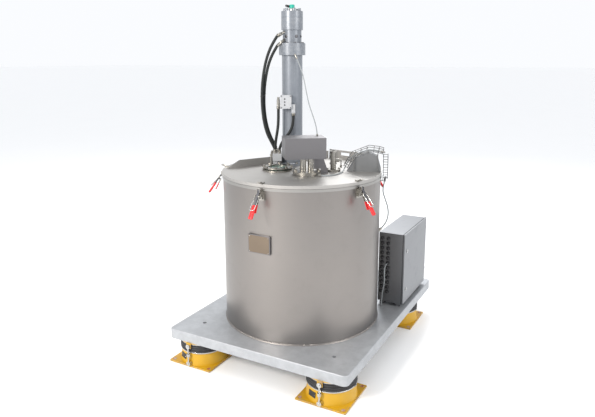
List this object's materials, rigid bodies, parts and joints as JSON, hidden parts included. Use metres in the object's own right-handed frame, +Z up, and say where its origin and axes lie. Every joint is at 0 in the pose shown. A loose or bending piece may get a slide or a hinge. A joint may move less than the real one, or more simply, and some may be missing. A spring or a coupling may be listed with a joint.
{
  "type": "basket centrifuge",
  "caption": "Vertical basket centrifuge: clamped hinged lid with a hydraulic scraper column, belt-driven basket, isolated base plate and control cabinet.",
  "frame": {"origin": "on the floor under the middle of the machine's outline", "axes": "+Z up, +X to the right along the base plate's front edge, +Y to the back"},
  "size_m": [1.46, 1.92, 2.6567],
  "materials": {
    "plate_grey": "satin",
    "isolator_yellow": "semi-gloss",
    "black_rubber": "matte",
    "spring_steel": "satin",
    "bright_steel": "polished",
    "cast_grey": "satin",
    "motor_blue": "satin",
    "brushed_casing": "brushed",
    "brushed_lid": "fine brushed",
    "seal_white": "matte",
    "blank_tag": "satin",
    "sight_glass": "clear",
    "sheet_grey": "bead blasted",
    "column_grey": "semi-gloss",
    "block_grey": "satin",
    "fitting_steel": "plated",
    "hose_black": "matte",
    "cable_grey": "matte",
    "grip_red": "semi-gloss",
    "gland_black": "matte",
    "cabinet_steel": "brushed",
    "basket_steel": "satin"
  },
  "bodies": {
    "root": {"base_plate": "plate_grey", "iso_plates": "isolator_yellow", "iso_sleeves": "black_rubber", "iso_springs": "spring_steel", "iso_tie_rods": "bright_steel", "bearing_spider": "cast_grey", "drive_belt": "black_rubber", "belt_guard": "plate_grey", "motor_frame": "motor_blue", "casing_shell": "brushed_casing", "casing_floor": "brushed_casing", "casing_ring": "brushed_lid", "lid_seal": "seal_white", "nameplate": "blank_tag", "casing_brackets": "fitting_steel", "casing_tray": "bright_steel", "cabinet_body": "cabinet_steel", "cable_glands": "gland_black", "side_cable": "cable_grey", "cabinet_cable": "cable_grey"},
    "lid": {"lid_plate": "brushed_lid", "lid_catches": "fitting_steel", "lid_nozzles": "fitting_steel", "sight_pane": "sight_glass", "lid_fasteners": "fitting_steel", "instrument_box": "sheet_grey", "lid_tray": "bright_steel", "column_tube": "column_grey", "column_head": "column_grey", "column_fittings": "fitting_steel", "valve_block": "block_grey", "hose_upper": "hose_black", "hose_lower": "hose_black", "hose_left": "hose_black", "hose_right": "hose_black", "sensor_cable": "cable_grey", "lid_cable": "cable_grey"},
    "wiper": {"sight_wiper": "fitting_steel"},
    "wash_handle": {"wash_handle": "fitting_steel"},
    "piston": {"scraper_piston": "spring_steel"},
    "scraper": {"scraper_shaft": "bright_steel", "scraper_knife": "basket_steel"},
    "basket": {"basket": "basket_steel", "basket_spindle": "spring_steel"},
    "rotor": {"motor_shaft": "spring_steel"},
    "door": {"cabinet_door": "cabinet_steel"},
    "lock_upper": {"door_lock_upper": "bright_steel"},
    "lock_lower": {"door_lock_lower": "bright_steel"},
    "lever_1": {"clamp_lever_1": "grip_red"},
    "loop_1": {"clamp_loop_1": "bright_steel"},
    "release_1": {"clamp_release_1": "grip_red"},
    "lever_2": {"clamp_lever_2": "grip_red"},
    "loop_2": {"clamp_loop_2": "bright_steel"},
    "release_2": {"clamp_release_2": "grip_red"},
    "lever_3": {"clamp_lever_3": "grip_red"},
    "loop_3": {"clamp_loop_3": "bright_steel"},
    "release_3": {"clamp_release_3": "grip_red"},
    "lever_4": {"clamp_lever_4": "grip_red"},
    "loop_4": {"clamp_loop_4": "bright_steel"},
    "release_4": {"clamp_release_4": "grip_red"}
  },
  "joints": [
    {"name": "lid_hinge", "type": "hinge", "parent": "root", "child": "lid", "pos_m": [-0.39969, 0.37263, 1.438], "axis": [-0.809, -0.5878, 0], "range_deg": [0, 75]},
    {"name": "scraper_lift", "type": "slide", "parent": "lid", "child": "piston", "axis": [0, 0, -1], "range_m": [0, 0.335]},
    {"name": "scraper_turn", "type": "hinge", "parent": "piston", "child": "scraper", "pos_m": [-0.175, -0.0105, 1.417], "axis": [0, 0, 1], "range_deg": [0, 120]},
    {"name": "basket_spin", "type": "hinge", "parent": "root", "child": "basket", "pos_m": [0, -0.1775, 0.592], "axis": [0, 0, 1], "continuous": true},
    {"name": "motor_spin", "type": "hinge", "parent": "root", "child": "rotor", "pos_m": [0, 0.6125, 0.262], "axis": [0, 0, 1], "continuous": true},
    {"name": "wiper_turn", "type": "hinge", "parent": "lid", "child": "wiper", "pos_m": [-0.202, -0.2985, 1.417], "axis": [0, 0, 1], "range_deg": [0, 60]},
    {"name": "wash_valve", "type": "hinge", "parent": "lid", "child": "wash_handle", "pos_m": [0.28974, -0.10603, 1.499], "axis": [0.9397, 0.342, 0], "range_deg": [0, 90]},
    {"name": "door_hinge", "type": "hinge", "parent": "root", "child": "door", "pos_m": [0.695, 0.8435, 0.292], "axis": [0, 0, 1], "range_deg": [0, 120]},
    {"name": "lock_upper_turn", "type": "hinge", "parent": "door", "child": "lock_upper", "pos_m": [0.705, 0.3075, 0.727], "axis": [-1, 0, 0], "range_deg": [0, 90]},
    {"name": "lock_lower_turn", "type": "hinge", "parent": "door", "child": "lock_lower", "pos_m": [0.705, 0.3075, 0.399], "axis": [-1, 0, 0], "range_deg": [0, 90]},
    {"name": "clamp_1_lever", "type": "hinge", "parent": "root", "child": "lever_1", "pos_m": [0.01103, -0.8094, 1.374], "axis": [-0.9998, -0.0175, 0], "range_deg": [-27, 60]},
    {"name": "clamp_1_loop", "type": "hinge", "parent": "lever_1", "child": "loop_1", "pos_m": [0.01143, -0.83234, 1.34123], "axis": [-0.9998, -0.0175, 0], "range_deg": [0, 110]},
    {"name": "clamp_1_release", "type": "hinge", "parent": "lever_1", "child": "release_1", "pos_m": [0.01139, -0.82989, 1.3151], "axis": [-0.9998, -0.0175, 0], "range_deg": [0, 5], "stiffness_Nm_per_rad": 0.3},
    {"name": "clamp_2_lever", "type": "hinge", "parent": "root", "child": "lever_2", "pos_m": [0.59002, -0.40399, 1.374], "axis": [-0.3584, -0.9336, 0], "range_deg": [-27, 60]},
    {"name": "clamp_2_loop", "type": "hinge", "parent": "lever_2", "child": "loop_2", "pos_m": [0.61144, -0.41221, 1.34123], "axis": [-0.3584, -0.9336, 0], "range_deg": [0, 110]},
    {"name": "clamp_2_release", "type": "hinge", "parent": "lever_2", "child": "release_2", "pos_m": [0.60915, -0.41133, 1.3151], "axis": [-0.3584, -0.9336, 0], "range_deg": [0, 5], "stiffness_Nm_per_rad": 0.3},
    {"name": "clamp_3_lever", "type": "hinge", "parent": "root", "child": "lever_3", "pos_m": [0.37148, 0.3338, 1.374], "axis": [0.809, -0.5878, 0], "range_deg": [-27, 60]},
    {"name": "clamp_3_loop", "type": "hinge", "parent": "lever_3", "child": "loop_3", "pos_m": [0.38497, 0.35236, 1.34123], "axis": [0.809, -0.5878, 0], "range_deg": [0, 110]},
    {"name": "clamp_3_release", "type": "hinge", "parent": "lever_3", "child": "release_3", "pos_m": [0.38352, 0.35037, 1.3151], "axis": [0.809, -0.5878, 0], "range_deg": [0, 5], "stiffness_Nm_per_rad": 0.3},
    {"name": "clamp_4_lever", "type": "hinge", "parent": "root", "child": "lever_4", "pos_m": [-0.60107, -0.3728, 1.374], "axis": [-0.309, 0.9511, 0], "range_deg": [-27, 60]},
    {"name": "clamp_4_loop", "type": "hinge", "parent": "lever_4", "child": "loop_4", "pos_m": [-0.62289, -0.37989, 1.34123], "axis": [-0.309, 0.9511, 0], "range_deg": [0, 110]},
    {"name": "clamp_4_release", "type": "hinge", "parent": "lever_4", "child": "release_4", "pos_m": [-0.62055, -0.37913, 1.3151], "axis": [-0.309, 0.9511, 0], "range_deg": [0, 5], "stiffness_Nm_per_rad": 0.3}
  ],
  "couplings": [
    {"joint": "motor_spin", "follows": "basket_spin", "ratio": 1.3158}
  ]
}
